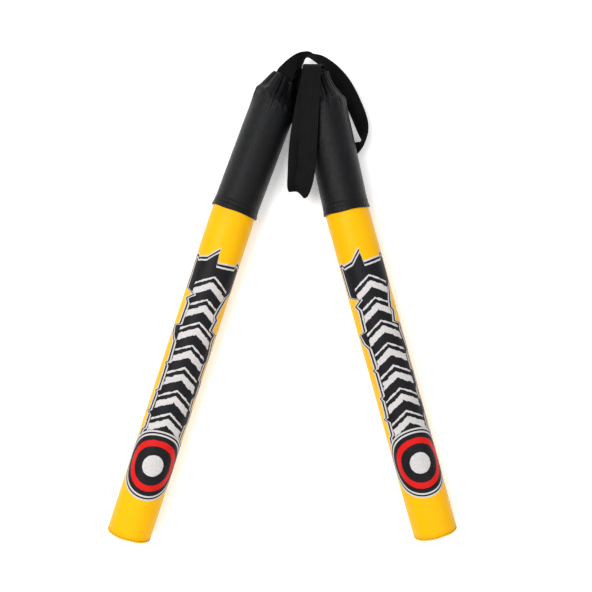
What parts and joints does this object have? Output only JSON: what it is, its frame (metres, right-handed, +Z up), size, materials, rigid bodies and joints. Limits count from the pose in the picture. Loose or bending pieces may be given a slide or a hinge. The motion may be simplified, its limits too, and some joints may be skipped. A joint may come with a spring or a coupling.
{
  "type": "focus training sticks",
  "caption": "Pair of foam-padded training sticks with sewn yellow covers, black gathered grip sleeves and webbing wrist straps, lying in an open V.",
  "frame": {"origin": "centre of the pair's footprint on the floor, wrist straps not counted", "axes": "+Y runs up the pair from the end discs to the grips, +X to the right as seen from above, +Z up from the floor"},
  "size_m": [0.3833, 0.538, 0.0574],
  "materials": {
    "yellow_cover": "coated fabric, satin",
    "black_cover": "coated fabric, satin",
    "webbing": "ribbed woven nylon",
    "thread": "bonded sewing thread",
    "foam": "closed-cell foam",
    "core_plastic": "plain extruded tube and moulded caps",
    "zinc_steel": "zinc plated"
  },
  "bodies": {
    "left_stick": {"left_end_disc": "yellow_cover", "left_end_welt": "yellow_cover", "left_end_thread": "thread", "left_tip_foam": "foam", "left_body_foam": "foam", "left_body_cover": "yellow_cover", "left_body_seam": "yellow_cover", "left_core_tube": "core_plastic", "left_core_lower_cap": "core_plastic", "left_core_upper_cap": "core_plastic", "left_strap_screw": "zinc_steel", "left_strap_washer": "zinc_steel", "left_strap_tail": "webbing", "left_grip_foam": "foam", "left_grip_sleeve": "black_cover", "left_grip_hem": "black_cover", "left_hem_thread": "thread", "left_grip_gather": "black_cover", "left_gather_tie": "thread"},
    "left_strap": {"left_wrist_strap": "webbing"},
    "right_stick": {"right_end_disc": "yellow_cover", "right_end_welt": "yellow_cover", "right_end_thread": "thread", "right_tip_foam": "foam", "right_body_foam": "foam", "right_body_cover": "yellow_cover", "right_body_seam": "yellow_cover", "right_core_tube": "core_plastic", "right_core_lower_cap": "core_plastic", "right_core_upper_cap": "core_plastic", "right_strap_screw": "zinc_steel", "right_strap_washer": "zinc_steel", "right_strap_tail": "webbing", "right_grip_foam": "foam", "right_grip_sleeve": "black_cover", "right_grip_hem": "black_cover", "right_hem_thread": "thread", "right_grip_gather": "black_cover", "right_gather_tie": "thread"},
    "right_strap": {"right_wrist_strap": "webbing"}
  },
  "joints": [
    {"name": "right_stick_lift", "type": "slide", "parent": "left_stick", "child": "right_stick", "axis": [0, 0, 1], "range_m": [0, 0.15]},
    {"name": "left_strap_swing", "type": "hinge", "parent": "left_stick", "child": "left_strap", "pos_m": [0.0015, 0.25, 0.0264], "axis": [-0.6326, -0.7745, 0], "range_deg": [0, 30]},
    {"name": "right_strap_swing", "type": "hinge", "parent": "right_stick", "child": "right_strap", "pos_m": [0.0378, 0.2561, 0.0278], "axis": [-0.9781, 0.208, 0], "range_deg": [0, 70]}
  ],
  "couplings": [
    {"joint": "left_strap_swing", "follows": "right_stick_lift", "rad_per_m": 3.49}
  ]
}
